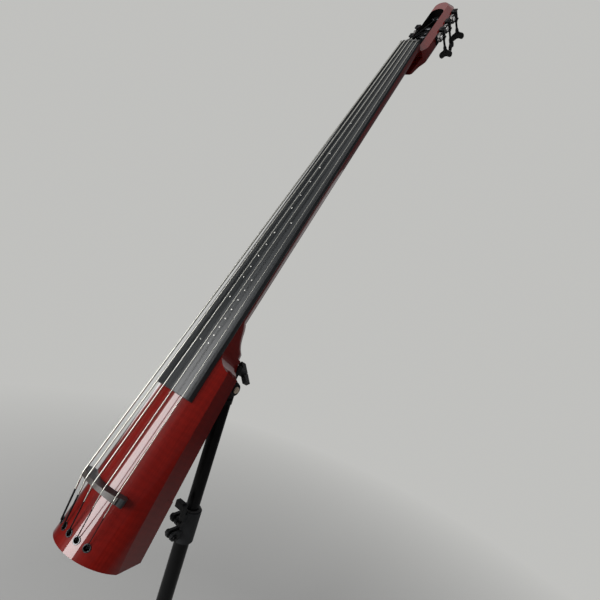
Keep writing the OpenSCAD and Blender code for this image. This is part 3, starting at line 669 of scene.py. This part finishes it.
def key_pieces(k):
    """A key: its turned shaft with the worm, and its flat wing at an angle of its own."""
    name, body, side = f"key_{k + 1}", f"tuner_key_{k + 1}", POST_SIDE[k]
    centre = Vector((side * MACHINE_X, 0, POST_Z[k] + WORM_RISE))
    worm = []
    for i in range(WORM_TURNS):
        at = WORM_START + WORM_PITCH * i
        worm += [(3.4, at), (4.8, at + 0.9), (4.8, at + 1.6), (3.4, at + 2.5)]
    shaft = lathe(centre, (0, 1, 0), KEY_FRONT + worm + KEY_STEM, 28)
    add(name + "_shaft", shaft, body, BLACK_METAL, [name])
    spin = Matrix.Rotation(math.radians(KEY_ANGLE[k]), 3, "Y")
    mirror = Matrix.Diagonal((side, 1, 1))
    rings = []
    for lift, shrink in WING_LAYERS:
        ring = []
        for i, p in enumerate(WING):
            edge = (WING[(i + 1) % len(WING)] - WING[i - 1]).normalized()
            q = p + Vector((-edge.y, edge.x)) * shrink
            ring.append(centre + mirror @ (spin @ Vector((q.x, q.y, lift))))
        rings.append(ring)
    add(name + "_wing", make_mesh(*loft(rings), sharp=60), body, BLACK_METAL, [name])


for k in STRINGS:
    post_pieces(k)
    soft(f"gear_{k + 1}", GEAR, 0.35)
    key_pieces(k)
soft("tuner_plate_treble", BLACK_METAL, 0.4)
soft("tuner_plate_bass", BLACK_METAL, 0.4)
soft("small_screws", GEAR, 0.3)

# ---------- electronics and mount ----------

soft("rear_cover", BLACK_PLASTIC, 0.8)
soft("volume_knob", BLACK_PLASTIC, 1.4, 3)
soft("tone_knob", BLACK_PLASTIC, 1.4, 3)
soft("output_jack", CHROME, 0.5)
soft("mount_plate", BLACK_METAL, 1.2, 3)
soft("thumbscrew_1", BLACK_PLASTIC, 2.0, 4)
soft("thumbscrew_2", BLACK_PLASTIC, 2.0, 4)
soft("pivot_bolt", BLACK_METAL, 0.6)
soft("pivot_cap", BEIGE, 0.9, 3)
soft("tilt_knob", BLACK_PLASTIC, 1.8, 4)

# These are out of sight and keep the shapes of their nodes.
for node, material in (("truss_rod", STEEL), ("pickup", BRASS), ("preamp", BOARD),
                       ("control_pots", ALUMINIUM)):
    for slot in frame["nodes"][node].material_slots:
        slot.material = material

# ---------- stand ----------

soft("tilt_head", BLACK_METAL, 1.0, 3)
soft("mast_upper", TUBE, 0.5)
soft("mast_lower", TUBE, 0.5)
soft("mast_bushing", BUSHING, 0.5)
soft("clamp_collar", CAST, 1.5, 3)
soft("clamp_lever", BLACK_METAL, 1.6, 3)
soft("stand_bolts", BLACK_METAL, 0.5)
soft("leg_hub", CAST, 1.5, 3)
for i in (1, 2, 3):
    soft(f"leg_{i}", TUBE, 0.8)
    soft(f"foot_{i}", RUBBER, 1.5, 3)

# ---------- room ----------

# The camera sees a plain grey backdrop, and every other ray sees a darker room.
GREY = (0.53, 0.53, 0.515)
ROOM, DIM_FLOOR = (0.075, 0.075, 0.08), (0.04, 0.04, 0.042)
FLOOR_RINGS = (0.01, 2.0, 6.0, 60.0)
# The painted floor fades into the backdrop between these distances from the stand, in m.
FADE_FROM, FADE_TO = 0.7, 2.2


def coloured(tree, kind, colour):
    """A background or emission shader in one colour."""
    node = tree.nodes.new(kind)
    node.inputs["Color"].default_value = (*colour, 1)
    return node


def by_ray(tree, hidden, shown):
    """One shader for the camera's own rays and another for all the rest."""
    path = tree.nodes.new("ShaderNodeLightPath")
    pick = tree.nodes.new("ShaderNodeMixShader")
    tree.links.new(path.outputs["Is Camera Ray"], pick.inputs["Fac"])
    tree.links.new(hidden.outputs[0], pick.inputs[1])
    tree.links.new(shown.outputs[0], pick.inputs[2])
    return pick.outputs[0]


world = bpy.data.worlds.new("studio")
bpy.context.scene.world = world
world.use_nodes = True
tree = world.node_tree
surface = by_ray(tree, coloured(tree, "ShaderNodeBackground", ROOM),
                 coloured(tree, "ShaderNodeBackground", GREY))
tree.links.new(surface, tree.nodes["World Output"].inputs["Surface"])

paint = Material("floor_paint", rough=0.85, base=(0.45, 0.45, 0.44))
tree = paint.mat.node_tree
beyond = by_ray(tree, coloured(tree, "ShaderNodeEmission", DIM_FLOOR),
                coloured(tree, "ShaderNodeEmission", GREY))
reach = paint.nodes.new("ShaderNodeVectorMath")
reach.operation = "LENGTH"
paint.links.new(paint.nodes.new("ShaderNodeTexCoord").outputs["Object"], reach.inputs[0])
fade = paint.nodes.new("ShaderNodeMixShader")
away = paint.span(reach.outputs["Value"], 0.0, 1.0, FADE_FROM, FADE_TO)
paint.links.new(away, fade.inputs["Fac"])
paint.links.new(paint.shader.outputs[0], fade.inputs[1])
paint.links.new(beyond, fade.inputs[2])
paint.links.new(fade.outputs[0], paint.nodes["Material Output"].inputs["Surface"])

# An open sheet: the loft's last face would lie over the whole of it.
verts, faces = loft([[(r * math.cos(a), r * math.sin(a), 0) for a in circle(96)]
                     for r in FLOOR_RINGS])
floor_mesh = bpy.data.meshes.new("floor")
floor_mesh.from_pydata(verts, [], faces[:-1])
floor_mesh.materials.append(paint.mat)
floor = bpy.data.objects.new("floor", floor_mesh)
bpy.context.scene.collection.objects.link(floor)


def area_light(name, at, target, size, power):
    """A rectangular light at a place in m, turned to its target."""
    data = bpy.data.lights.new(name, "AREA")
    data.shape = "RECTANGLE"
    data.size, data.size_y = size
    data.energy = power
    ob = bpy.data.objects.new(name, data)
    bpy.context.scene.collection.objects.link(ob)
    ob.location = at
    ob.rotation_euler = (Vector(target) - Vector(at)).to_track_quat("-Z", "Y").to_euler()
    return ob


# The window stands before the belly and the wall behind the back. The card lights the stand's
# left and the fill its right, and the fill doesn't show in the lacquer.
belly = INSTRUMENT @ Vector((14, 20, -1020))
window = Vector((-0.19, -0.93, 0.31)).normalized()
wall = (INSTRUMENT.to_3x3() @ Vector((0.1, 0.95, 0.31))).normalized()
area_light("window", belly + window * 3.2, belly, (1.75, 2.4), 140)
area_light("ceiling", (0.6, -0.4, 4.6), (0, 0, 1.0), (4.6, 4.6), 48)
area_light("card", (-2.9, 1.1, 1.2), (0, -0.1, 1.1), (1.8, 2.8), 26).visible_camera = False
fill = area_light("fill", (3.2, -0.7, 1.4), (0, 0, 1.3), (1.6, 2.4), 13)
fill.visible_camera = fill.visible_glossy = False
area_light("wall", belly + wall * 3, belly, (1.6, 3), 9).visible_camera = False

# ---------- camera ----------

# The camera's place, right and forward are given in the instrument frame.
CAMERA_AT = Vector((535.8, -549.4, -898.9))
right = Vector((0.7788, 0.357, 0.5158)).normalized()
forward = Vector((-0.559, 0.768, 0.3125)).normalized()
up = right.cross(forward)
turn = Matrix.Rotation(-LEAN, 3, "X") @ Matrix((right, up, -forward)).transposed()
camera_data = bpy.data.cameras.new("camera")
camera_data.sensor_width = 36
camera_data.lens = 27
camera = bpy.data.objects.new("camera", camera_data)
bpy.context.scene.collection.objects.link(camera)
camera.matrix_world = Matrix.Translation(INSTRUMENT @ CAMERA_AT) @ turn.to_4x4()
bpy.context.scene.camera = camera
bpy.context.scene.view_settings.view_transform = "Standard"
